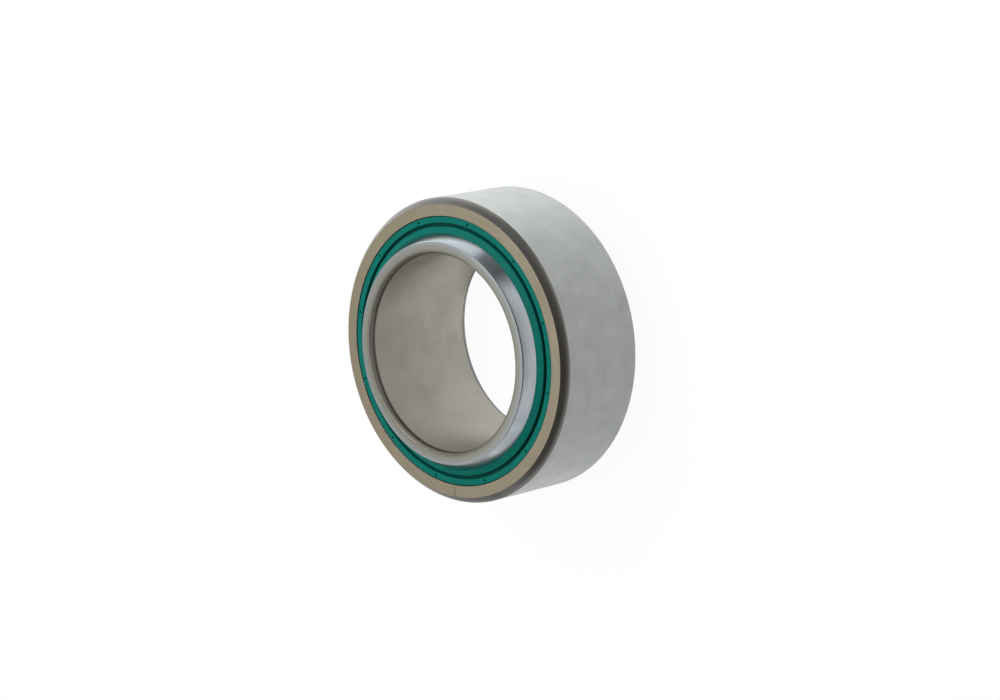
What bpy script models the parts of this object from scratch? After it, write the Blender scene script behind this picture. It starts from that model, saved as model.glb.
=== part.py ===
# Radial spherical plain bearing, free of maintenance, with a lip seal on each side.
# The ball centre is the origin and the bearing's own axis is Z. The front is +Z.
# All lengths are in metres. Every piece is a body of revolution: a closed profile in
# (radius, height), turned about Z. The sizes run from the bore outwards, wall by wall, and
# give the standard bearing of 40 mm bore, 53 mm ball, 62 mm outside, 28 and 22 mm wide.
import math

import bmesh
import bpy
from mathutils import Matrix

# Inner ring: its bore, its width, its end face from the bore to the ball, and how far it stands
# out of the outer ring on each side
BORE_D = 0.040
INNER_WIDTH = 0.028
END_FACE_WIDTH = 0.0025
INNER_REACH = 0.003

# Turned edges of the inner ring: bore chamfers, and the small round where the ball meets the face
BORE_CHAMFER_RADIAL = 0.00045
BORE_CHAMFER_AXIAL = 0.00085
BALL_EDGE_ROUND = 0.00015

# Outer ring: its flat side face from the seal groove to the chamfer, the dark lead-in chamfers
# outside it, how far their middle swells out, and the round at each of their corners
SIDE_FACE_WIDTH = 0.00238
LEAD_IN_RADIAL = 0.00127
LEAD_IN_AXIAL = 0.00155
LEAD_IN_SWELL = 0.00012
LEAD_IN_ROUND = 0.00010

# Sliding liner: a woven layer bonded inside the outer ring, which the ball runs on
LINER_THICKNESS = 0.0005
LINER_BOND_GAP = 0.0002
BALL_CLEARANCE = 0.0002

# Seal groove in each side of the outer ring: a mouth a little wider than the ball, a deeper snap
# recess behind it, and a floor
SEAL_MOUTH_MARGIN = 0.00085
SEAL_RECESS_STEP = 0.00050
SEAL_MOUTH_DEPTH = 0.00060
SEAL_RECESS_SLOPE = 0.00030
SEAL_GROOVE_DEPTH = 0.00240
LINER_SETBACK = 0.00030

# Lip seal: its fit in the groove, the flat outer band, the moulded groove and the lip
SEAL_FIT_GAP = 0.00030
SEAL_FACE_DROP = 0.00015
SEAL_BAND_WIDTH = 0.00125
SEAL_BAND_ROUND = 0.00015
SEAL_GROOVE_WIDTH = 0.00072
SEAL_GROOVE_SINK = 0.00095
LIP_RISE = 0.00050
LIP_LAND = 0.00020
LIP_CLEARANCE = 0.00012
LIP_POCKET_DEPTH = 0.00030
INNER_LIP_DEPTH = 0.00175
INNER_LIP_WIDTH = 0.00050

# Dimples that the mould's locating pins leave round the seal's outer band
DIMPLE_COUNT = 12
DIMPLE_D = 0.00050
DIMPLE_DEPTH = 0.00035
DIMPLE_FIRST_ANGLE = math.radians(12)

# The outer ring is split along its axis at one place, so that it opens over the ball
SPLIT_WIDTH = 0.00015
SPLIT_ANGLE = math.radians(-96.1)

# How finely the rounds are cut
TURN_STEPS = 64
BALL_STEPS = 14
TRACK_STEPS = 8
ROUND_STEPS = 2
DIMPLE_SIDES = 8
CUT_MARGIN = 0.001
SHARP_ANGLE = math.radians(28)

# Radii and heights that follow from the sizes above
BORE_R = BORE_D / 2
INNER_TOP = INNER_WIDTH / 2
OUTER_TOP = INNER_TOP - INNER_REACH
BALL_R = math.hypot(BORE_R + END_FACE_WIDTH, INNER_TOP)
LINER_INNER_R = BALL_R + BALL_CLEARANCE
LINER_OUTER_R = LINER_INNER_R + LINER_THICKNESS
TRACK_R = LINER_OUTER_R + LINER_BOND_GAP
LIP_R = BALL_R + LIP_CLEARANCE
GROOVE_FLOOR = OUTER_TOP - SEAL_GROOVE_DEPTH
MOUTH_R = BALL_R + SEAL_MOUTH_MARGIN
RECESS_R = MOUTH_R + SEAL_RECESS_STEP
SIDE_FACE_R = MOUTH_R + SIDE_FACE_WIDTH
OUTER_R = SIDE_FACE_R + LEAD_IN_RADIAL
LINER_TOP = GROOVE_FLOOR - LINER_SETBACK


def linear(value):
    """One sRGB channel, 0 to 1, as linear light."""
    if value <= 0.04045:
        return value / 12.92
    return ((value + 0.055) / 1.055) ** 2.4


def material(name, colour, roughness, metallic):
    """A plain Principled material; the colour is an sRGB hex string."""
    made = bpy.data.materials.new(name)
    made.use_nodes = True
    shader = made.node_tree.nodes["Principled BSDF"]
    channels = [linear(int(colour[i:i + 2], 16) / 255) for i in (0, 2, 4)]
    shader.inputs["Base Color"].default_value = (*channels, 1.0)
    shader.inputs["Roughness"].default_value = roughness
    shader.inputs["Metallic"].default_value = metallic
    return made


def on_sphere(radius, height):
    """The point at this height on a sphere about the ball centre."""
    return (math.sqrt(radius ** 2 - height ** 2), height)


def sphere_arc(radius, start, end, steps):
    """Points down or up a sphere about the ball centre, from one height to another."""
    first = math.asin(start / radius)
    last = math.asin(end / radius)
    angles = [first + (last - first) * i / steps for i in range(steps + 1)]
    return [(radius * math.cos(a), radius * math.sin(a)) for a in angles]


def rounded(before, corner, after, reach):
    """The corner of a profile rounded off, starting this far from it on both sides."""
    points = []
    back = min(1.0, reach / math.dist(corner, before))
    ahead = min(1.0, reach / math.dist(corner, after))
    start = [c + (b - c) * back for c, b in zip(corner, before)]
    end = [c + (a - c) * ahead for c, a in zip(corner, after)]
    for i in range(ROUND_STEPS + 1):
        t = i / ROUND_STEPS
        weights = ((1 - t) ** 2, 2 * t * (1 - t), t ** 2)
        points.append(tuple(sum(w * p for w, p in zip(weights, axis)) for axis in zip(start, corner, end)))
    return points


def mirrored(upper, outside_middle=(), inside_middle=()):
    """A whole profile from its upper half, which runs from the outside over the top to the inside.
    The points at mid-height, if it has any, are given apart, because they aren't doubled."""
    lower = [(r, -z) for r, z in upper]
    return [*reversed(upper), *outside_middle, *lower, *inside_middle]


def turned(name, profile, collection, finish):
    """A closed profile turned about Z into one ring."""
    mesh = bpy.data.meshes.new(name)
    edges = [(i, (i + 1) % len(profile)) for i in range(len(profile))]
    mesh.from_pydata([(r, 0.0, z) for r, z in profile], edges, [])
    ring = bpy.data.objects.new(name, mesh)
    collection.objects.link(ring)
    screw = ring.modifiers.new("turn", "SCREW")
    screw.axis = "Z"
    screw.angle = math.tau
    screw.steps = TURN_STEPS
    screw.render_steps = TURN_STEPS
    screw.use_merge_vertices = True
    screw.merge_threshold = 0.00001
    mesh.materials.append(finish)
    return ring


def add_cutter(name, build, collection):
    """A hidden tool body; build fills its mesh."""
    shape = bmesh.new()
    build(shape)
    mesh = bpy.data.meshes.new(name)
    shape.to_mesh(mesh)
    shape.free()
    cutter = bpy.data.objects.new(name, mesh)
    cutter.display_type = "WIRE"
    cutter.hide_render = True
    collection.objects.link(cutter)
    return cutter


def cut(piece, cutter):
    """Take the cutter's shape out of the piece."""
    boolean = piece.modifiers.new(cutter.name, "BOOLEAN")
    boolean.operation = "DIFFERENCE"
    boolean.solver = "EXACT"
    boolean.object = cutter


def shade(piece):
    """Fix the piece's shape, and shade its rounds smooth between sharp turned corners."""
    graph = bpy.context.evaluated_depsgraph_get()
    mesh = bpy.data.meshes.new_from_object(piece.evaluated_get(graph))
    mesh.name = piece.name
    piece.modifiers.clear()
    piece.data = mesh
    mesh.shade_smooth()
    mesh.set_sharp_from_angle(angle=SHARP_ANGLE)


def inner_ring(collection, finish):
    """Ball-shaped ring on the shaft: polished ball, ground faces and a plain bore with chamfers."""
    chamfer_outer = (BORE_R + BORE_CHAMFER_RADIAL, INNER_TOP)
    chamfer_inner = (BORE_R, INNER_TOP - BORE_CHAMFER_AXIAL)
    ball_corner = on_sphere(BALL_R, INNER_TOP)
    ball_end = on_sphere(BALL_R, INNER_TOP - BALL_EDGE_ROUND)
    edge = rounded(ball_end, ball_corner, chamfer_outer, BALL_EDGE_ROUND)
    equator, *ball = sphere_arc(BALL_R, 0.0, edge[0][1], BALL_STEPS // 2)
    upper = ball[:-1] + edge + [chamfer_outer, chamfer_inner]
    ring = turned("inner_ring", mirrored(upper, outside_middle=[equator]), collection, finish)
    shade(ring)
    return ring


def outer_ring(collection, cutters, finish):
    """Ring in the housing: ground outside, lead-in chamfers, seal grooves and a hollow round track."""
    side = (OUTER_R, 0.0)
    chamfer_side = (OUTER_R, OUTER_TOP - LEAD_IN_AXIAL)
    chamfer_face = (SIDE_FACE_R, OUTER_TOP)
    swell = LEAD_IN_SWELL / math.dist(chamfer_side, chamfer_face)
    chamfer_middle = (
        (chamfer_side[0] + chamfer_face[0]) / 2 + LEAD_IN_AXIAL * swell,
        (chamfer_side[1] + chamfer_face[1]) / 2 + LEAD_IN_RADIAL * swell,
    )
    mouth = (MOUTH_R, OUTER_TOP)
    upper = rounded(side, chamfer_side, chamfer_middle, LEAD_IN_ROUND)
    upper.append(chamfer_middle)
    upper += rounded(chamfer_middle, chamfer_face, mouth, LEAD_IN_ROUND)
    upper.append(mouth)
    upper.append((MOUTH_R, OUTER_TOP - SEAL_MOUTH_DEPTH))
    upper.append((RECESS_R, OUTER_TOP - SEAL_MOUTH_DEPTH - SEAL_RECESS_SLOPE))
    upper.append((RECESS_R, GROOVE_FLOOR))
    *track, middle = sphere_arc(TRACK_R, GROOVE_FLOOR, 0.0, TRACK_STEPS // 2)
    profile = mirrored(upper + track, inside_middle=[middle])
    ring = turned("outer_ring", profile, collection, finish)

    def split(shape):
        reach = OUTER_R + CUT_MARGIN - BORE_R
        place = Matrix.Rotation(SPLIT_ANGLE, 4, "Z") @ Matrix.Translation((BORE_R + reach / 2, 0.0, 0.0))
        size = Matrix.Diagonal((reach, SPLIT_WIDTH, 2 * (OUTER_TOP + CUT_MARGIN), 1.0))
        bmesh.ops.create_cube(shape, size=1.0, matrix=place @ size)

    cut(ring, add_cutter("split_cutter", split, cutters))
    shade(ring)
    return ring


def sliding_liner(collection, finish):
    """Woven sliding layer between the ball and the outer ring, its ends short of the seal grooves."""
    outside = sphere_arc(LINER_OUTER_R, LINER_TOP, -LINER_TOP, TRACK_STEPS)
    inside = sphere_arc(LINER_INNER_R, -LINER_TOP, LINER_TOP, TRACK_STEPS)
    liner = turned("sliding_liner", outside + inside, collection, finish)
    shade(liner)
    return liner


def seal_profile():
    """Section of the upper lip seal, from the top of its outer edge down and round to the lip."""
    face = OUTER_TOP - SEAL_FACE_DROP
    rim = MOUTH_R - SEAL_FIT_GAP
    bead = RECESS_R - SEAL_FIT_GAP
    shoulder = OUTER_TOP - SEAL_MOUTH_DEPTH - SEAL_FIT_GAP
    bottom = GROOVE_FLOOR + SEAL_FIT_GAP
    band_inner = rim - SEAL_BAND_WIDTH
    lip_root = band_inner - SEAL_GROOVE_WIDTH
    groove_floor = face - SEAL_GROOVE_SINK
    lip_top = OUTER_TOP + LIP_RISE
    lip_edge = on_sphere(LIP_R, lip_top)
    lip_heel = on_sphere(LIP_R, lip_top - LIP_LAND)
    inner_lip = on_sphere(LIP_R, lip_top - INNER_LIP_DEPTH)
    pocket_height = (lip_heel[1] + inner_lip[1]) / 2
    pocket = (on_sphere(LIP_R, pocket_height)[0] + LIP_POCKET_DEPTH, pocket_height)
    profile = rounded((band_inner, face), (rim, face), (rim, shoulder), SEAL_BAND_ROUND)
    profile += [
        (rim, shoulder),
        (bead, shoulder - SEAL_RECESS_SLOPE),
        (bead, bottom),
        (inner_lip[0] + INNER_LIP_WIDTH, bottom),
        inner_lip,
        pocket,
        lip_heel,
        lip_edge,
        (lip_root, face),
        (lip_root, groove_floor),
        (band_inner, groove_floor),
    ]
    profile += rounded((band_inner, groove_floor), (band_inner, face), (rim, face), SEAL_BAND_ROUND)
    return profile


def lip_seal(name, side, collection, cutters, finish):
    """Moulded lip seal snapped into the groove on one side: +1 above, -1 below."""
    profile = seal_profile()
    if side < 0:
        profile = [(r, -z) for r, z in reversed(profile)]
    seal = turned(name, profile, collection, finish)

    def dimples(shape):
        height = side * (OUTER_TOP - SEAL_FACE_DROP)
        radius = MOUTH_R - SEAL_FIT_GAP - SEAL_BAND_WIDTH / 2
        for i in range(DIMPLE_COUNT):
            turn = Matrix.Rotation(DIMPLE_FIRST_ANGLE + math.tau * i / DIMPLE_COUNT, 4, "Z")
            place = turn @ Matrix.Translation((radius, 0.0, height))
            bmesh.ops.create_cone(shape, cap_ends=True, segments=DIMPLE_SIDES, radius1=DIMPLE_D / 2,
                                  radius2=DIMPLE_D / 2, depth=2 * DIMPLE_DEPTH, matrix=place)

    cut(seal, add_cutter(name + "_dimples", dimples, cutters))
    shade(seal)
    return seal


def clear_scene():
    for old in list(bpy.data.objects):
        bpy.data.objects.remove(old)


def new_collection(name):
    made = bpy.data.collections.new(name)
    bpy.context.scene.collection.children.link(made)
    return made


clear_scene()
bearing = new_collection("spherical_plain_bearing")
tools = new_collection("cutters")
ground_steel = material("ground_steel", "A6A8A2", 0.32, 1.0)
chromed_steel = material("chromed_steel", "B9BEC2", 0.15, 1.0)
green_rubber = material("green_rubber", "12705F", 0.5, 0.0)
liner_fabric = material("liner_fabric", "5B5142", 0.7, 0.0)
outer_ring(bearing, tools, ground_steel)
sliding_liner(bearing, liner_fabric)
inner_ring(bearing, chromed_steel)
lip_seal("front_seal", 1, bearing, tools, green_rubber)
lip_seal("back_seal", -1, bearing, tools, green_rubber)
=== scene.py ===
import math

import bmesh
import bpy
from mathutils import Matrix, Vector


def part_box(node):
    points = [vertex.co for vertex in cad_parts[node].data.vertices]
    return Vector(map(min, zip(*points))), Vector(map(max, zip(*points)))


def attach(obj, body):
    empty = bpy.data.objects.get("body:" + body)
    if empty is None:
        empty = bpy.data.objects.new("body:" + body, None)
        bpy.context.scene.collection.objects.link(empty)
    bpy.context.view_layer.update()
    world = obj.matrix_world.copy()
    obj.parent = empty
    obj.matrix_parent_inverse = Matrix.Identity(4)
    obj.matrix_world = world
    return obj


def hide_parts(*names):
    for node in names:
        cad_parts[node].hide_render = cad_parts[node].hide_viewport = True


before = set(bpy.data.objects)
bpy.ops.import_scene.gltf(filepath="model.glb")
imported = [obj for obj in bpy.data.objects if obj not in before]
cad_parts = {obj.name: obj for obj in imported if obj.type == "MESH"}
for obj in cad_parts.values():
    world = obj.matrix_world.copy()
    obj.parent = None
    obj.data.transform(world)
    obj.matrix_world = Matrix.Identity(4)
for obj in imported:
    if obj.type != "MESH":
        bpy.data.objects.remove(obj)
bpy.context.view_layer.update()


# Outer ring. It is one turned ring of hardened bearing steel, ground on its outside, with a
# slightly swollen lead-in at each end that keeps the black skin of the heat treatment. It is
# cracked through along one line, so that it can be sprung open over the ball.
TURN_SIDES = 256
MERGE = 0.000001
SAME_PLACE = 5 * MERGE
FLAT_GAP = 0.00001
LEVEL_NORMAL = 0.999
SHARP_ANGLE = math.radians(32)

LEAD_IN_WIDTH = 0.00127
LEAD_IN_DEPTH = 0.00155
LEAD_IN_SWELL = 0.00008
LEAD_IN_POINTS = 12
LEAD_IN_ROUND = 0.00007
WORN_WIDTH = 0.00070
SIDE_FACE_WIDTH = 0.00238
FACE_EDGE_ROUND = 0.00002
EDGE_BREAK = 0.00006
MOUTH_DEPTH = 0.00060
RECESS_UNDERCUT = 0.00050
RECESS_SLOPE = 0.00030
RECESS_DEPTH = 0.00240
TRACK_STEP = 0.00005
TRACK_POINTS = 24
CRACK_ANGLE = math.radians(-96.1)
CRACK_WIDTH = 0.00009

outer_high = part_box("outer_ring")[1]
OUTER_R = outer_high.x
OUTER_TOP = outer_high.z
SIDE_FACE_R = OUTER_R - LEAD_IN_WIDTH
LEAD_IN_FOOT = OUTER_TOP - LEAD_IN_DEPTH
MOUTH_R = SIDE_FACE_R - SIDE_FACE_WIDTH
MOUTH_BOTTOM = OUTER_TOP - MOUTH_DEPTH
RECESS_R = MOUTH_R + RECESS_UNDERCUT
RECESS_TOP = MOUTH_BOTTOM - RECESS_SLOPE
RECESS_BOTTOM = OUTER_TOP - RECESS_DEPTH
TRACK_R = MOUTH_R + TRACK_STEP


def start(name, add, **how):
    """Adds a primitive with nothing else selected, names it, and fixes its place in its mesh."""
    bpy.ops.object.select_all(action="DESELECT")
    add(**how)
    piece = bpy.context.object
    piece.name = name
    piece.data.name = name
    bpy.ops.object.transform_apply(location=True, rotation=True, scale=True)
    return piece


def extrude_along(section):
    """Extrudes the selected loop from each (radius, height) of a section to the next one."""
    for (radius, height), (new_radius, new_height) in zip(section, section[1:]):
        bpy.ops.mesh.extrude_region_move(TRANSFORM_OT_translate={"value": (0, 0, new_height - height)})
        share = new_radius / radius
        bpy.ops.transform.resize(value=(share, share, 1), center_override=(0, 0, 0))


def tidy_mesh():
    """In edit mode: merges what lies on itself, points the faces out, and leaves edit mode."""
    bpy.ops.mesh.select_all(action="SELECT")
    bpy.ops.mesh.remove_doubles(threshold=MERGE)
    bpy.ops.mesh.normals_make_consistent(inside=False)
    bpy.ops.object.mode_set(mode="OBJECT")


def turned(name, section):
    """A ring turned from its closed section: a circle is extruded from each (radius, height) to
    the next, and the last loop closes on the first."""
    radius, height = section[0]
    ring = start(name, bpy.ops.mesh.primitive_circle_add, vertices=TURN_SIDES, radius=radius,
                 location=(0, 0, height))
    bpy.ops.object.mode_set(mode="EDIT")
    bpy.ops.mesh.select_all(action="SELECT")
    extrude_along([*section, section[0]])
    tidy_mesh()
    return ring


def select_loops(piece, corners):
    """In edit mode: selects the edges whose ends lie at one of these (radius, height) corners."""
    bpy.ops.mesh.select_mode(type="EDGE")
    bpy.ops.mesh.select_all(action="DESELECT")
    shape = bmesh.from_edit_mesh(piece.data)
    for edge in shape.edges:
        ends = [(v.co.xy.length, v.co.z) for v in edge.verts]
        edge.select = any(all(math.dist(end, corner) < SAME_PLACE for end in ends) for corner in corners)
    bmesh.update_edit_mesh(piece.data)


def round_edges(piece, corners, width, segments):
    """Bevels the loops that lie at these (radius, height) corners."""
    bpy.ops.object.mode_set(mode="EDIT")
    select_loops(piece, corners)
    bpy.ops.mesh.bevel(offset=width, segments=segments, profile=0.5, affect="EDGES")
    bpy.ops.object.mode_set(mode="OBJECT")


def turn_round(angle):
    """In edit mode: turns what is selected about the ring's axis. The operator itself turns
    clockwise, and an azimuth counts the other way."""
    bpy.ops.transform.rotate(value=-angle, orient_axis="Z", center_override=(0, 0, 0))


def cut(piece, tool):
    """Cuts the tool's shape out of a piece, and takes the tool away."""
    carve = piece.modifiers.new("cut", "BOOLEAN")
    carve.object = tool
    carve.solver = "EXACT"
    bpy.ops.object.select_all(action="DESELECT")
    bpy.context.view_layer.objects.active = piece
    bpy.ops.object.modifier_apply(modifier="cut")
    bpy.data.objects.remove(tool)


def finish_faces(piece, finishes):
    """Gives each face the first finish whose test its radius, height and normal pass."""
    for finish, _ in finishes:
        piece.data.materials.append(finish)
    for face in piece.data.polygons:
        centre, normal = face.center, face.normal
        for slot, (_, fits) in enumerate(finishes):
            if fits(centre.xy.length, centre.z, normal):
                face.material_index = slot
                break


def shade(piece):
    """Smooth rounds between sharp corners, with the flats kept flat up to their edges."""
    bpy.ops.object.select_all(action="DESELECT")
    piece.select_set(True)
    bpy.context.view_layer.objects.active = piece
    bpy.ops.object.shade_smooth_by_angle(angle=SHARP_ANGLE)
    piece.modifiers.new("flats", "WEIGHTED_NORMAL").keep_sharp = True
    bpy.ops.object.modifier_apply(modifier="flats")


def linear(value):
    """One sRGB channel, 0 to 1, as linear light."""
    return value / 12.92 if value <= 0.04045 else ((value + 0.055) / 1.055) ** 2.4


def colour(hex_code):
    """An sRGB hex colour as the linear colour that a socket takes."""
    return (*[linear(int(hex_code[i:i + 2], 16) / 255) for i in (0, 2, 4)], 1.0)


def add_node(tree, kind, sockets=None, **settings):
    """One node with its settings by name, and its sockets by name or number: values or links."""
    node = tree.nodes.new(kind)
    for name, value in settings.items():
        setattr(node, name, value)
    for socket, value in (sockets or {}).items():
        if isinstance(value, bpy.types.NodeSocket):
            tree.links.new(value, node.inputs[socket])
        else:
            node.inputs[socket].default_value = value
    return node


def new_material(name, **plain):
    """A material with one Principled shader, and the shader's own plain values set on it."""
    made = bpy.data.materials.new(name)
    made.use_nodes = True
    shader = made.node_tree.nodes["Principled BSDF"]
    for socket, value in plain.items():
        shader.inputs[socket.replace("_", " ")].default_value = value
    return made, made.node_tree, shader


def from_axis(tree, place):
    """How far a place is from the ring's axis."""
    flat = add_node(tree, "ShaderNodeVectorMath", {0: place, 1: (1, 1, 0)}, operation="MULTIPLY")
    return add_node(tree, "ShaderNodeVectorMath", {0: flat.outputs[0]}, operation="LENGTH").outputs["Value"]


def lathe_marks(tree, across, pitch, length):
    """Noise drawn out round the ring's axis, as a tool or a grinding wheel leaves it. Across is
    the way in which the marks follow one another: Z on an outside, RADIUS on a side face."""
    place = add_node(tree, "ShaderNodeTexCoord").outputs["Object"]
    flat = add_node(tree, "ShaderNodeVectorMath", {0: place, 1: (1, 1, 0)}, operation="MULTIPLY")
    marks_round = 1 / length
    if across == "RADIUS":
        step = from_axis(tree, place)
        flat = add_node(tree, "ShaderNodeVectorMath", {0: flat.outputs[0]}, operation="NORMALIZE")
        marks_round = OUTER_R / length
    else:
        step = add_node(tree, "ShaderNodeSeparateXYZ", {0: place}).outputs["Z"]
    drawn = add_node(tree, "ShaderNodeVectorMath", {0: flat.outputs[0], "Scale": marks_round},
                     operation="SCALE")
    step = add_node(tree, "ShaderNodeMath", {0: step, 1: 1 / pitch}, operation="MULTIPLY")
    step = add_node(tree, "ShaderNodeCombineXYZ", {"Z": step.outputs[0]})
    where = add_node(tree, "ShaderNodeVectorMath", {0: drawn.outputs[0], 1: step.outputs[0]})
    return add_node(tree, "ShaderNodeTexNoise",
                    {"Vector": where.outputs[0], "Scale": 1.0, "Detail": 3.0, "Roughness": 0.6})


def steel(name, light, dark, smooth, rough, across, pitch, length, mark_height, blotch=0.006):
    """A machined steel: two near tones and two roughnesses that follow the tool marks and a slow
    cloudiness, and the marks themselves as relief. The marks round an outside or a bore also draw
    the reflections out along the axis. On a side face they are too fine for that."""
    made, tree, shader = new_material(name, Metallic=1.0)
    marks = lathe_marks(tree, across, pitch, length)
    place = add_node(tree, "ShaderNodeTexCoord").outputs["Object"]
    cloud = add_node(tree, "ShaderNodeTexNoise", {"Vector": place, "Scale": 1 / blotch, "Detail": 4.0})
    both = add_node(tree, "ShaderNodeMath", {0: marks.outputs["Fac"], 1: cloud.outputs["Fac"]},
                    operation="ADD")
    # The two noises add up to about 1, and nearly all of the sum lies between 0.7 and 1.3.
    spread = add_node(tree, "ShaderNodeMapRange",
                      {"Value": both.outputs[0], "From Min": 0.7, "From Max": 1.3})
    tone = add_node(tree, "ShaderNodeMix",
                    {"Factor": spread.outputs[0], 6: colour(dark), 7: colour(light)}, data_type="RGBA")
    tree.links.new(tone.outputs[2], shader.inputs["Base Color"])
    gloss = add_node(tree, "ShaderNodeMapRange",
                     {"Value": spread.outputs[0], "To Min": rough, "To Max": smooth})
    tree.links.new(gloss.outputs[0], shader.inputs["Roughness"])
    relief = add_node(tree, "ShaderNodeBump",
                      {"Height": marks.outputs["Fac"], "Distance": mark_height, "Strength": 1.0})
    tree.links.new(relief.outputs[0], shader.inputs["Normal"])
    if across == "Z":
        shader.inputs["Anisotropic"].default_value = 0.8
        axis = add_node(tree, "ShaderNodeVectorTransform", {0: (0, 0, 1)}, vector_type="VECTOR",
                        convert_from="OBJECT", convert_to="WORLD")
        tree.links.new(axis.outputs[0], shader.inputs["Tangent"])
    return made


def arc(radius, first, last, points):
    """Points round a sphere about the ball centre, from one height to another."""
    angles = [math.asin(first / radius), math.asin(last / radius)]
    turns = [angles[0] + (angles[1] - angles[0]) * i / points for i in range(points + 1)]
    return [(radius * math.cos(a), radius * math.sin(a)) for a in turns]


def swollen(first, last, swell, points):
    """Points along a line from one (radius, height) to another, bowed out by the swell at a third
    of its length, where t (1 - t) squared is at its highest, 4/27."""
    (r0, z0), (r1, z1) = first, last
    length = math.dist(first, last)
    line = []
    for i in range(points + 1):
        t = i / points
        bow = swell * t * (1 - t) ** 2 * 27 / 4 / length
        line.append((r0 + (r1 - r0) * t + (z1 - z0) * bow, z0 + (z1 - z0) * t + (r0 - r1) * bow))
    return line


top_side = [
    *swollen((OUTER_R, LEAD_IN_FOOT), (SIDE_FACE_R, OUTER_TOP), LEAD_IN_SWELL, LEAD_IN_POINTS),
    (MOUTH_R, OUTER_TOP),
    (MOUTH_R, MOUTH_BOTTOM),
    (RECESS_R, RECESS_TOP),
    (RECESS_R, RECESS_BOTTOM),
]
bottom_side = [(r, -z) for r, z in reversed(top_side)]
track = arc(TRACK_R, RECESS_BOTTOM, -RECESS_BOTTOM, TRACK_POINTS)
outer_ring = turned("outer_ring_turned", [(OUTER_R, 0.0), *top_side, *track, *bottom_side])
for side in (1, -1):
    round_edges(outer_ring, [(OUTER_R, side * LEAD_IN_FOOT)], LEAD_IN_ROUND, 4)
    round_edges(outer_ring, [(SIDE_FACE_R, side * OUTER_TOP)], FACE_EDGE_ROUND, 2)
    round_edges(outer_ring, [(MOUTH_R, side * OUTER_TOP)], EDGE_BREAK, 2)

# The crack, as a thin box that reaches past both faces of the wall and past both ends.
wall = OUTER_R - MOUTH_R
crack = start("crack", bpy.ops.mesh.primitive_cube_add, size=1.0, location=(MOUTH_R + wall / 2, 0, 0),
              scale=(2 * wall, CRACK_WIDTH, 2.2 * OUTER_TOP))
bpy.ops.object.mode_set(mode="EDIT")
bpy.ops.mesh.select_all(action="SELECT")
turn_round(CRACK_ANGLE)
bpy.ops.object.mode_set(mode="OBJECT")
cut(outer_ring, crack)

# Ground bearing steel: neutral and satin, the wheel's fine marks run round it. They are 0.03 mm
# apart on the real ring, and 0.2 mm here so that they show.
ground_outside = steel("ground_bearing_steel", light="C5C9C7", dark="BABEBC", smooth=0.46, rough=0.52,
                       across="Z", pitch=0.0002, length=0.008, mark_height=0.0000004, blotch=0.004)

# Matt turned side face: a warm, oily grey with fine rings, and so rough that it shows no reflections.
turned_side = steel("matt_turned_steel", light="8E8674", dark="857D6C", smooth=0.52, rough=0.60,
                    across="RADIUS", pitch=0.0002, length=0.006, mark_height=0.0000006)

# Plain turned steel inside the grooves and the track, where nothing polishes it: a dull mid grey.
turned_inside = steel("turned_steel_inside", light="8C8A84", dark="74726C", smooth=0.40, rough=0.50,
                      across="Z", pitch=0.0002, length=0.006, mark_height=0.000001)

# Black skin of the heat treatment: a thin layer of iron oxide, nearly black face on, with a soft
# sheen at a low angle. It is worn to a dark grey where it runs out into the ground outside.
black_skin, tree, shader = new_material("black_oxide_skin", IOR=2.2)
marks = lathe_marks(tree, across="RADIUS", pitch=0.0002, length=0.006)
tone = add_node(tree, "ShaderNodeMix",
                {"Factor": marks.outputs["Fac"], 6: colour("24211E"), 7: colour("383430")},
                data_type="RGBA")
radius = from_axis(tree, add_node(tree, "ShaderNodeTexCoord").outputs["Object"])
worn = add_node(tree, "ShaderNodeMapRange",
                {"Value": radius, "From Min": OUTER_R - WORN_WIDTH, "From Max": OUTER_R})
tone = add_node(tree, "ShaderNodeMix",
                {"Factor": worn.outputs[0], 6: tone.outputs[2], 7: colour("575552")}, data_type="RGBA")
tree.links.new(tone.outputs[2], shader.inputs["Base Color"])
gloss = add_node(tree, "ShaderNodeMapRange",
                 {"Value": marks.outputs["Fac"], "To Min": 0.16, "To Max": 0.30})
tree.links.new(gloss.outputs[0], shader.inputs["Roughness"])
relief = add_node(tree, "ShaderNodeBump", {"Height": marks.outputs["Fac"], "Distance": 0.000001})
tree.links.new(relief.outputs[0], shader.inputs["Normal"])

finish_faces(outer_ring, [
    (turned_side, lambda r, z, n: MOUTH_R < r < SIDE_FACE_R and abs(z) > OUTER_TOP - FLAT_GAP
     and abs(n.z) > LEVEL_NORMAL),
    (ground_outside, lambda r, z, n: r > OUTER_R - LEAD_IN_ROUND / 3),
    (black_skin, lambda r, z, n: r > SIDE_FACE_R),
    (turned_inside, lambda r, z, n: True),
])
shade(outer_ring)
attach(outer_ring, "outer")
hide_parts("outer_ring")


# Sliding liner. A woven layer of bronze-coloured fabric in resin, half a millimetre thick, bonded
# into the outer ring. The ball runs on it, so the bearing needs no grease.
LINER_THICKNESS = 0.0005
LINER_POINTS = 20
THREAD_PITCH = 0.0004

liner_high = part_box("sliding_liner")[1]
LINER_R = liner_high.x
LINER_TOP = liner_high.z
outside = arc(LINER_R, LINER_TOP, -LINER_TOP, LINER_POINTS)
inside = arc(LINER_R - LINER_THICKNESS, -LINER_TOP, LINER_TOP, LINER_POINTS)
liner = turned("liner_layer", outside + inside)

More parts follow.
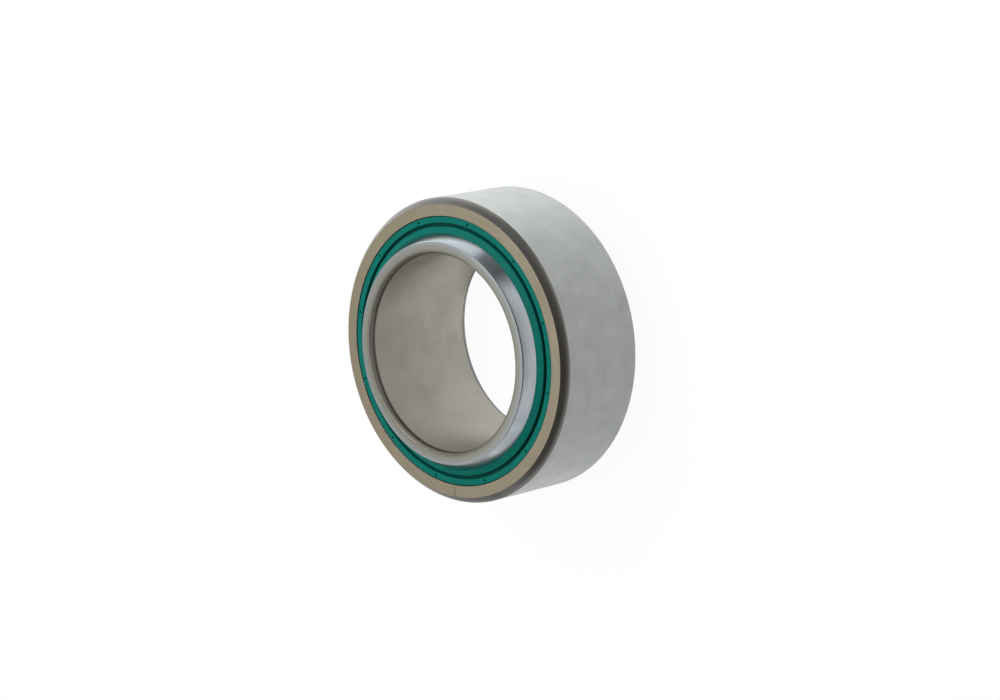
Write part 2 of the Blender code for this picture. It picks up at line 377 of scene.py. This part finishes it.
# Woven fabric in resin: threads that cross at right angles and stand out a little, dull and dark.
fabric, tree, shader = new_material("bonded_liner_fabric", Roughness=0.7)
place = add_node(tree, "ShaderNodeTexCoord").outputs["Object"]
split_place = add_node(tree, "ShaderNodeSeparateXYZ", {0: place})
turn = add_node(tree, "ShaderNodeMath", {0: split_place.outputs["Y"], 1: split_place.outputs["X"]},
                operation="ARCTAN2")
threads = []
for value, pitch in ((turn.outputs[0], THREAD_PITCH / LINER_R), (split_place.outputs["Z"], THREAD_PITCH)):
    wave = add_node(tree, "ShaderNodeMath", {0: value, 1: math.tau / pitch}, operation="MULTIPLY")
    threads.append(add_node(tree, "ShaderNodeMath", {0: wave.outputs[0]}, operation="SINE"))
weave = add_node(tree, "ShaderNodeMath", {0: threads[0].outputs[0], 1: threads[1].outputs[0]},
                 operation="MULTIPLY")
weave = add_node(tree, "ShaderNodeMapRange", {"Value": weave.outputs[0], "From Min": -1.0})
tone = add_node(tree, "ShaderNodeMix",
                {"Factor": weave.outputs[0], 6: colour("4A4135"), 7: colour("6E614E")}, data_type="RGBA")
tree.links.new(tone.outputs[2], shader.inputs["Base Color"])
relief = add_node(tree, "ShaderNodeBump", {"Height": weave.outputs[0], "Distance": 0.00005})
tree.links.new(relief.outputs[0], shader.inputs["Normal"])

liner.data.materials.append(fabric)
shade(liner)
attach(liner, "liner")
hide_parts("sliding_liner")


# Inner ring. It is turned from bearing steel, its ball is plated with hard chrome and polished,
# and its end faces and bore are ground. Each end of the bore has a narrow bevel, a chamfer and,
# below that, a long shallow run-out that stays dark.
BORE_R = 0.020
BEVEL_R = BORE_R + 0.00061
CHAMFER_R = BORE_R + 0.00053
RUN_OUT_R = BORE_R + 0.00014
BEVEL_DEPTH = 0.00010
CHAMFER_DEPTH = 0.00060
RUN_OUT_DEPTH = 0.00130
BORE_EDGE_ROUND = 0.00004
BORE_SPAN_CUTS = 6
BALL_RINGS = 180
BALL_EDGE_ROUND = 0.00004
UPRIGHT_NORMAL = 0.1
# Widths of the end face's painted highlight at its outer rim and painted shade at its inner rim.
HIGHLIGHT_RIM = 0.0009
SHADE_RIM = 0.0006

inner_low, inner_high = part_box("inner_ring")
BALL_R = inner_high.x
INNER_TOP = inner_high.z
FACE_R = math.sqrt(BALL_R ** 2 - INNER_TOP ** 2)
bore_edge = [
    (BEVEL_R, INNER_TOP),
    (CHAMFER_R, INNER_TOP - BEVEL_DEPTH),
    (RUN_OUT_R, INNER_TOP - CHAMFER_DEPTH),
    (BORE_R, INNER_TOP - RUN_OUT_DEPTH),
]

inner_ring = start("inner_ring_turned", bpy.ops.mesh.primitive_uv_sphere_add, segments=TURN_SIDES,
                   ring_count=BALL_RINGS, radius=BALL_R)
bpy.ops.object.mode_set(mode="EDIT")
for side in (1, -1):
    bpy.ops.mesh.select_all(action="SELECT")
    bpy.ops.mesh.bisect(plane_co=(0, 0, side * INNER_TOP), plane_no=(0, 0, side), clear_outer=True,
                        threshold=MERGE / 10)
for side in (1, -1):
    select_loops(inner_ring, [(FACE_R, side * INNER_TOP)])
    extrude_along([(r, side * z) for r, z in [(FACE_R, INNER_TOP), *bore_edge]])
bore_end = INNER_TOP - RUN_OUT_DEPTH
select_loops(inner_ring, [(BORE_R, bore_end), (BORE_R, -bore_end)])
bpy.ops.mesh.bridge_edge_loops(number_cuts=BORE_SPAN_CUTS)
tidy_mesh()
round_edges(inner_ring, [(FACE_R, INNER_TOP), (FACE_R, -INNER_TOP)], BALL_EDGE_ROUND, 2)
round_edges(inner_ring, [(r, side * z) for side in (1, -1) for r, z in bore_edge[:2]], BORE_EDGE_ROUND, 3)

# Hard chrome, polished: bright and slightly blue, with a faint haze from the polishing wheel.
hard_chrome = steel("polished_hard_chrome", light="BFC8D1", dark="B4BDC6", smooth=0.14, rough=0.19,
                    across="Z", pitch=0.0003, length=0.010, mark_height=0.0000002)

# Ground end face: satin steel with fine rings round the bore. A painted highlight makes its outer
# rim lighter and bluer, fading inward, and a painted shade makes its inner rim darker.
ground_face = steel("ground_end_face", light="93958E", dark="8B8D85", smooth=0.40, rough=0.48,
                    across="RADIUS", pitch=0.0002, length=0.006, mark_height=0.0000005)
tree = ground_face.node_tree
shader = tree.nodes["Principled BSDF"]
radius = from_axis(tree, add_node(tree, "ShaderNodeTexCoord").outputs["Object"])
# Painted highlight: the outer rim is lighter and bluer.
rim_highlight = add_node(tree, "ShaderNodeMapRange", {"Value": radius, "From Min": FACE_R - HIGHLIGHT_RIM,
                                               "From Max": FACE_R - HIGHLIGHT_RIM / 4})
tone = add_node(tree, "ShaderNodeMix",
                {"Factor": rim_highlight.outputs[0], 6: shader.inputs["Base Color"].links[0].from_socket,
                 7: colour("989DA0")}, data_type="RGBA")
# Painted shade: the inner rim is darker.
rim_shade = add_node(tree, "ShaderNodeMapRange", {"Value": radius, "From Min": BEVEL_R + SHADE_RIM,
                                             "From Max": BEVEL_R + SHADE_RIM / 3})
tone = add_node(tree, "ShaderNodeMix",
                {"Factor": rim_shade.outputs[0], 6: tone.outputs[2], 7: colour("817E75")}, data_type="RGBA")
tree.links.new(tone.outputs[2], shader.inputs["Base Color"])

# Turned chamfer of the bore: rough and oily, so that it has no reflections of its own.
turned_chamfer = steel("turned_chamfer_steel", light="99978E", dark="87857D", smooth=0.50, rough=0.60,
                       across="RADIUS", pitch=0.0002, length=0.006, mark_height=0.0000006)

# Ground bore: a slightly warm satin grey with fine marks round it.
ground_bore = steel("ground_bore_steel", light="B6B4AA", dark="ADABA1", smooth=0.42, rough=0.50,
                    across="Z", pitch=0.0002, length=0.006, mark_height=0.0000006)

finish_faces(inner_ring, [
    (ground_bore, lambda r, z, n: r < BORE_R + FLAT_GAP and abs(n.z) < UPRIGHT_NORMAL),
    (black_skin, lambda r, z, n: r < RUN_OUT_R),
    (turned_inside, lambda r, z, n: CHAMFER_R < r < BEVEL_R),
    (turned_chamfer, lambda r, z, n: r < BEVEL_R),
    (ground_face, lambda r, z, n: abs(z) > INNER_TOP - BALL_EDGE_ROUND),
    (hard_chrome, lambda r, z, n: True),
])
shade(inner_ring)
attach(inner_ring, "inner")
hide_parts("inner_ring")


# Lip seals. Each is moulded in green elastomer and snapped into the groove of the outer ring. Its
# flat band has twelve dimples from the mould's pins, and two lips rest on the ball behind it.
SEAL_FIT_GAP = 0.00014
BAND_SUNK = 0.00015
BAND_WIDTH = 0.00125
BEAD_SLOPE = 0.00030
GROOVE_WIDTH = 0.00072
GROOVE_DEPTH = 0.00095
BALL_GAP = 0.00004
LIP_RISE = 0.00050
LIP_THICKNESS = 0.00020
LIP_REACH = 0.00175
POCKET_DEPTH = 0.00030
INNER_LIP_WIDTH = 0.00050
SEAL_ROUND = 0.00012
DIMPLE_COUNT = 12
DIMPLE_R = 0.00025
DIMPLE_DEPTH = 0.00035
DIMPLE_SIDES = 16
DIMPLE_FIRST = math.radians(12)

BAND_TOP = OUTER_TOP - BAND_SUNK
BAND_OUTER_R = MOUTH_R - SEAL_FIT_GAP
BAND_INNER_R = BAND_OUTER_R - BAND_WIDTH
BEAD_R = RECESS_R - SEAL_FIT_GAP
SHOULDER = MOUTH_BOTTOM - SEAL_FIT_GAP
BEAD_TOP = SHOULDER - BEAD_SLOPE
SEAL_BOTTOM = RECESS_BOTTOM + SEAL_FIT_GAP
LIP_ROOT_R = BAND_INNER_R - GROOVE_WIDTH
GROOVE_FLOOR = BAND_TOP - GROOVE_DEPTH
LIP_R = BALL_R + BALL_GAP
LIP_TOP = OUTER_TOP + LIP_RISE
LIP_HEEL = LIP_TOP - LIP_THICKNESS
INNER_LIP = LIP_TOP - LIP_REACH
POCKET = (LIP_HEEL + INNER_LIP) / 2


def at_ball(radius, height, out=0.0):
    """The point at this height on a sphere about the ball centre, moved out by this much."""
    return (math.sqrt(radius ** 2 - height ** 2) + out, height)


# Moulded nitrile rubber: a deep blue-green, smooth from the mould, with a soft sheen that a grain
# of 0.3 mm breaks up, and slow clouds of 5 mm in its tone. Painted shade makes it darker downward
# from the band's rounded edge to the groove's floor, and fully dark below that.
rubber, tree, shader = new_material("moulded_green_rubber", Specular_IOR_Level=0.07)
place = add_node(tree, "ShaderNodeTexCoord").outputs["Object"]
grain = add_node(tree, "ShaderNodeTexNoise", {"Vector": place, "Scale": 1 / 0.0003, "Detail": 3.0})
cloud = add_node(tree, "ShaderNodeTexNoise", {"Vector": place, "Scale": 1 / 0.005, "Detail": 3.0})
tone = add_node(tree, "ShaderNodeMix",
                {"Factor": cloud.outputs["Fac"], 6: colour("005A50"), 7: colour("00655B")},
                data_type="RGBA")
height = add_node(tree, "ShaderNodeSeparateXYZ", {0: place}).outputs["Z"]
height = add_node(tree, "ShaderNodeMath", {0: height}, operation="ABSOLUTE").outputs[0]
# Painted shade: darker with depth, from just under the band's top down to the groove's floor and below.
groove_shade = add_node(tree, "ShaderNodeMapRange",
                {"Value": height, "From Min": GROOVE_FLOOR, "From Max": BAND_TOP - SEAL_ROUND,
                 "To Min": 1.0, "To Max": 0.0})
tone = add_node(tree, "ShaderNodeMix",
                {"Factor": groove_shade.outputs[0], 6: tone.outputs[2], 7: colour("00433B")}, data_type="RGBA")
tree.links.new(tone.outputs[2], shader.inputs["Base Color"])
gloss = add_node(tree, "ShaderNodeMapRange",
                 {"Value": grain.outputs["Fac"], "To Min": 0.50, "To Max": 0.62})
tree.links.new(gloss.outputs[0], shader.inputs["Roughness"])
relief = add_node(tree, "ShaderNodeBump", {"Height": grain.outputs["Fac"], "Distance": 0.000006})
tree.links.new(relief.outputs[0], shader.inputs["Normal"])

groove = [
    (LIP_ROOT_R, BAND_TOP),
    (LIP_ROOT_R, GROOVE_FLOOR),
    (BAND_INNER_R, GROOVE_FLOOR),
    (BAND_INNER_R, BAND_TOP),
]
seal_section = [
    (BAND_OUTER_R, BAND_TOP),
    (BAND_OUTER_R, SHOULDER),
    (BEAD_R, BEAD_TOP),
    (BEAD_R, SEAL_BOTTOM),
    (at_ball(LIP_R, INNER_LIP)[0] + INNER_LIP_WIDTH, SEAL_BOTTOM),
    at_ball(LIP_R, INNER_LIP),
    at_ball(LIP_R, POCKET, POCKET_DEPTH),
    at_ball(LIP_R, LIP_HEEL),
    at_ball(LIP_R, LIP_TOP),
    *groove,
]
for node, side in (("front_seal", 1), ("back_seal", -1)):
    seal = turned(f"{node}_moulded", [(r, side * z) for r, z in seal_section])
    round_edges(seal, [(r, side * z) for r, z in [seal_section[0], *groove]], SEAL_ROUND, 3)
    pins = start("pins", bpy.ops.mesh.primitive_cylinder_add, vertices=DIMPLE_SIDES, radius=DIMPLE_R,
                 depth=2 * DIMPLE_DEPTH, location=((BAND_OUTER_R + BAND_INNER_R) / 2, 0, side * BAND_TOP))
    bpy.ops.object.mode_set(mode="EDIT")
    bpy.ops.mesh.select_all(action="SELECT")
    turn_round(DIMPLE_FIRST)
    for _ in range(DIMPLE_COUNT - 1):
        bpy.ops.mesh.duplicate()
        turn_round(-math.tau / DIMPLE_COUNT)
    bpy.ops.object.mode_set(mode="OBJECT")
    cut(seal, pins)
    seal.data.materials.clear()
    seal.data.materials.append(rubber)
    shade(seal)
    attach(seal, "outer")
    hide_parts(node)


# Floor. A plain pale surface that the bearing stands on, on its inner ring's end face. The camera
# sees most of it as even white, with a faint shadow, and from below it is clear. The steel mirrors
# a painted glow on it, brighter towards the left, with painted shade under the bore and beyond the bearing.
FLOOR_HALF = 1.5
FLOOR_GAP = 0.00001
CAMERA_WHITE = 0.95
GLOSSY_SHARE = 0.70
PAINTED_GLOW_AZIMUTH = 168
# Both ends of the painted glow's slope: metres from the axis along that azimuth, and the glow there.
PAINTED_GLOW_DIM_END = (-0.044, 0.72)
PAINTED_GLOW_BRIGHT_END = (0.030, 1.50)
# First azimuth, last azimuth and softness in degrees, the metres from the axis where the painted
# shade begins, is full and ends, and the share of the painted glow that it leaves. Nine metres is off the
# floor.
PAINTED_SHADES = {
    "under_the_bore": (92, 152, 20, 0.014, 0.018, 0.022, 0.35),
    "beyond_the_top": (44, 90, 10, 0.10, 0.20, 9.0, 0.06),
    "beyond_the_left": (90, 178, 12, 0.12, 0.30, 9.0, 0.75),
    "beyond_the_lower_left": (204, 258, 12, 0.046, 0.068, 9.0, 0.28),
}


def toward(azimuth, elevation):
    """The direction with this azimuth and elevation, in degrees."""
    across, up = math.radians(azimuth), math.radians(elevation)
    return Vector((math.cos(up) * math.cos(across), math.cos(up) * math.sin(across), math.sin(up)))


def within_turn(tree, place, first, last, soft):
    """1 where a place or direction lies between two azimuths, and 0 outside, with soft edges."""
    middle, half, edge = (first + last) / 2, math.radians(last - first) / 2, math.radians(soft) / 2
    ahead = add_node(tree, "ShaderNodeVectorMath", {0: place, 1: toward(middle, 0)},
                     operation="DOT_PRODUCT")
    aside = add_node(tree, "ShaderNodeVectorMath", {0: place, 1: toward(middle + 90, 0)},
                     operation="DOT_PRODUCT")
    turn = add_node(tree, "ShaderNodeMath", {0: aside.outputs["Value"], 1: ahead.outputs["Value"]},
                    operation="ARCTAN2")
    turn = add_node(tree, "ShaderNodeMath", {0: turn.outputs[0]}, operation="ABSOLUTE")
    inside = add_node(tree, "ShaderNodeMapRange",
                      {"Value": turn.outputs[0], "From Min": half - edge, "From Max": half + edge,
                       "To Min": 1.0, "To Max": 0.0}, interpolation_type="SMOOTHSTEP")
    return inside.outputs[0]


floor = start("floor", bpy.ops.mesh.primitive_plane_add, size=2 * FLOOR_HALF,
              location=(0, 0, inner_low.z - FLOOR_GAP))

# Pale paper: matt and even and white to the camera. The steel sees a painted glow from the left on it.
paper = bpy.data.materials.new("pale_floor")
paper.use_nodes = True
tree = paper.node_tree
tree.nodes.clear()
ray = add_node(tree, "ShaderNodeLightPath")
seen = add_node(tree, "ShaderNodeMath",
                {0: ray.outputs["Is Camera Ray"], 1: ray.outputs["Is Transmission Ray"]},
                operation="MAXIMUM")
mirrored = add_node(tree, "ShaderNodeMath", {0: ray.outputs["Is Glossy Ray"], 1: GLOSSY_SHARE},
                    operation="MULTIPLY")
share = add_node(tree, "ShaderNodeMath", {0: seen.outputs[0], 1: CAMERA_WHITE, 2: mirrored.outputs[0]},
                 operation="MULTIPLY_ADD")
pale = add_node(tree, "ShaderNodeBsdfDiffuse", {"Color": colour("E6E6E4")})
place = add_node(tree, "ShaderNodeTexCoord").outputs["Object"]
along = add_node(tree, "ShaderNodeVectorMath", {0: place, 1: toward(PAINTED_GLOW_AZIMUTH, 0)},
                 operation="DOT_PRODUCT").outputs["Value"]
# Painted light and shade that only glossy rays see: a glow that rises towards the left, cut down in the
# painted shade zones.
painted_glow = add_node(tree, "ShaderNodeMapRange",
                {"Value": along, "From Min": PAINTED_GLOW_DIM_END[0], "To Min": PAINTED_GLOW_DIM_END[1],
                 "From Max": PAINTED_GLOW_BRIGHT_END[0], "To Max": PAINTED_GLOW_BRIGHT_END[1]})
away = from_axis(tree, place)
for first, last, soft, near, full, end, left in PAINTED_SHADES.values():
    begun = add_node(tree, "ShaderNodeMapRange", {"Value": away, "From Min": near, "From Max": full,
                                                  "To Max": 1 - left}, interpolation_type="SMOOTHSTEP")
    ended = add_node(tree, "ShaderNodeMath", {0: away, 1: end}, operation="LESS_THAN")
    painted_shade = add_node(tree, "ShaderNodeMath", {0: begun.outputs[0], 1: ended.outputs[0]},
                      operation="MULTIPLY")
    painted_shade = add_node(tree, "ShaderNodeMath",
                      {0: painted_shade.outputs[0], 1: within_turn(tree, place, first, last, soft)},
                      operation="MULTIPLY")
    kept = add_node(tree, "ShaderNodeMath", {0: 1.0, 1: painted_shade.outputs[0]}, operation="SUBTRACT")
    painted_glow = add_node(tree, "ShaderNodeMath", {0: painted_glow.outputs[0], 1: kept.outputs[0]},
                    operation="MULTIPLY")
painted_glow = add_node(tree, "ShaderNodeMix", {"Factor": seen.outputs[0], 2: painted_glow.outputs[0], 3: 1.0})
white = add_node(tree, "ShaderNodeEmission", {"Color": colour("FFFFFF"), "Strength": painted_glow.outputs[0]})
surface = add_node(tree, "ShaderNodeMixShader",
                   {0: share.outputs[0], 1: pale.outputs[0], 2: white.outputs[0]})
below = add_node(tree, "ShaderNodeNewGeometry").outputs["Backfacing"]
clear = add_node(tree, "ShaderNodeBsdfTransparent")
surface = add_node(tree, "ShaderNodeMixShader", {0: below, 1: surface.outputs[0], 2: clear.outputs[0]})
add_node(tree, "ShaderNodeOutputMaterial", {"Surface": surface.outputs[0]})
floor.data.materials.append(paper)


# Studio light. A soft box hangs high over the table, the key box stands a little lower beyond the
# ring's top edge, and a weaker box fills in from the other side. The room's walls are pale, with a
# dark gap between the right wall and the top left one.

# The ceiling is brightest at this azimuth and elevation. From there the room darkens with the
# cosine of the turn away from it, and is at its lowest where that is DARKEST_COSINE.
CEILING = (165, 45)
ROOM_HIGH = 0.62
ROOM_LOW = 0.06
DARKEST_COSINE = -0.1
# Azimuth and elevation in degrees, distance and side of the square box in metres, and radiance.
LAMPS = {
    "high_box": (130, 78, 0.60, 0.30, 5.4),
    "key_box": (106, 52, 0.60, 0.34, 5.2),
    "fill_box": (-120, 60, 0.60, 0.30, 2.8),
}
# First azimuth, last azimuth and softness in degrees, the heights up to which a wall is full and
# at which it ends, as the Z of the direction, and radiance.
WALLS = {
    "bottom_wall": (-118, -70, 14, 0.08, 0.32, 0.75),
    "right_wall": (-70, 58, 24, 0.12, 0.48, 0.85),
    "top_left_wall": (91, 175, 12, 0.04, 0.36, 0.78),
    "lower_left_wall": (175, 235, 14, 0.10, 0.34, 0.40),
}

for name, (azimuth, elevation, distance, size, radiance) in LAMPS.items():
    lamp = bpy.data.lights.new(name, "AREA")
    lamp.size = size
    lamp.energy = radiance * math.pi * size ** 2
    box = bpy.data.objects.new(name, lamp)
    bpy.context.scene.collection.objects.link(box)
    box.location = distance * toward(azimuth, elevation)
    box.rotation_euler = (-box.location).to_track_quat("-Z", "Y").to_euler()
    box.visible_camera = False

room = bpy.data.worlds.new("pale_room")
room.use_nodes = True
tree = room.node_tree
tree.nodes.clear()
way = add_node(tree, "ShaderNodeTexCoord").outputs["Generated"]
height = add_node(tree, "ShaderNodeSeparateXYZ", {0: way}).outputs["Z"]
light = add_node(tree, "ShaderNodeVectorMath", {0: way, 1: toward(*CEILING)},
                 operation="DOT_PRODUCT").outputs["Value"]
light = add_node(tree, "ShaderNodeMapRange",
                 {"Value": light, "From Min": DARKEST_COSINE, "From Max": 1.0,
                  "To Min": ROOM_LOW, "To Max": ROOM_HIGH}).outputs[0]
for first, last, soft, full, none, radiance in WALLS.values():
    tall = add_node(tree, "ShaderNodeMapRange",
                    {"Value": height, "From Min": full, "From Max": none,
                     "To Min": radiance, "To Max": 0.0}, interpolation_type="SMOOTHSTEP")
    wide = within_turn(tree, way, first, last, soft)
    light = add_node(tree, "ShaderNodeMath", {0: wide, 1: tall.outputs[0], 2: light},
                     operation="MULTIPLY_ADD").outputs[0]
walls = add_node(tree, "ShaderNodeBackground", {"Color": colour("F4F2EE"), "Strength": light})
white = add_node(tree, "ShaderNodeBackground", {"Color": colour("FFFFFF"), "Strength": 1.0})
camera_ray = add_node(tree, "ShaderNodeLightPath").outputs["Is Camera Ray"]
both = add_node(tree, "ShaderNodeMixShader", {0: camera_ray, 1: walls.outputs[0], 2: white.outputs[0]})
add_node(tree, "ShaderNodeOutputWorld", {"Surface": both.outputs[0]})
bpy.context.scene.world = room


# Camera. It looks at the bearing's middle from the front right, turned 44.6 degrees from the
# axis, with the ring's Y axis pointing up the picture.
CAMERA_TURN = math.radians(44.634)
CAMERA_LIFT = math.radians(6.044)
CAMERA_ROLL = math.radians(-5.935)
CAMERA_DISTANCE = 0.63568
CAMERA_AIM = Vector((0.00159, -0.00149, -0.00135))
LENS_MM = 112.94

view = bpy.data.cameras.new("camera")
view.lens = LENS_MM
view.sensor_width = 36.0
view.clip_start = 0.05
view.clip_end = 20.0
camera = bpy.data.objects.new("camera", view)
bpy.context.scene.collection.objects.link(camera)
turn = Matrix.Rotation(CAMERA_TURN, 3, "Y") @ Matrix.Rotation(-CAMERA_LIFT, 3, "X")
turn = turn @ Matrix.Rotation(CAMERA_ROLL, 3, "Z")
camera.location = CAMERA_AIM + turn @ Vector((0, 0, CAMERA_DISTANCE))
camera.rotation_euler = turn.to_euler()
bpy.context.scene.camera = camera
bpy.context.scene.view_settings.view_transform = "Standard"
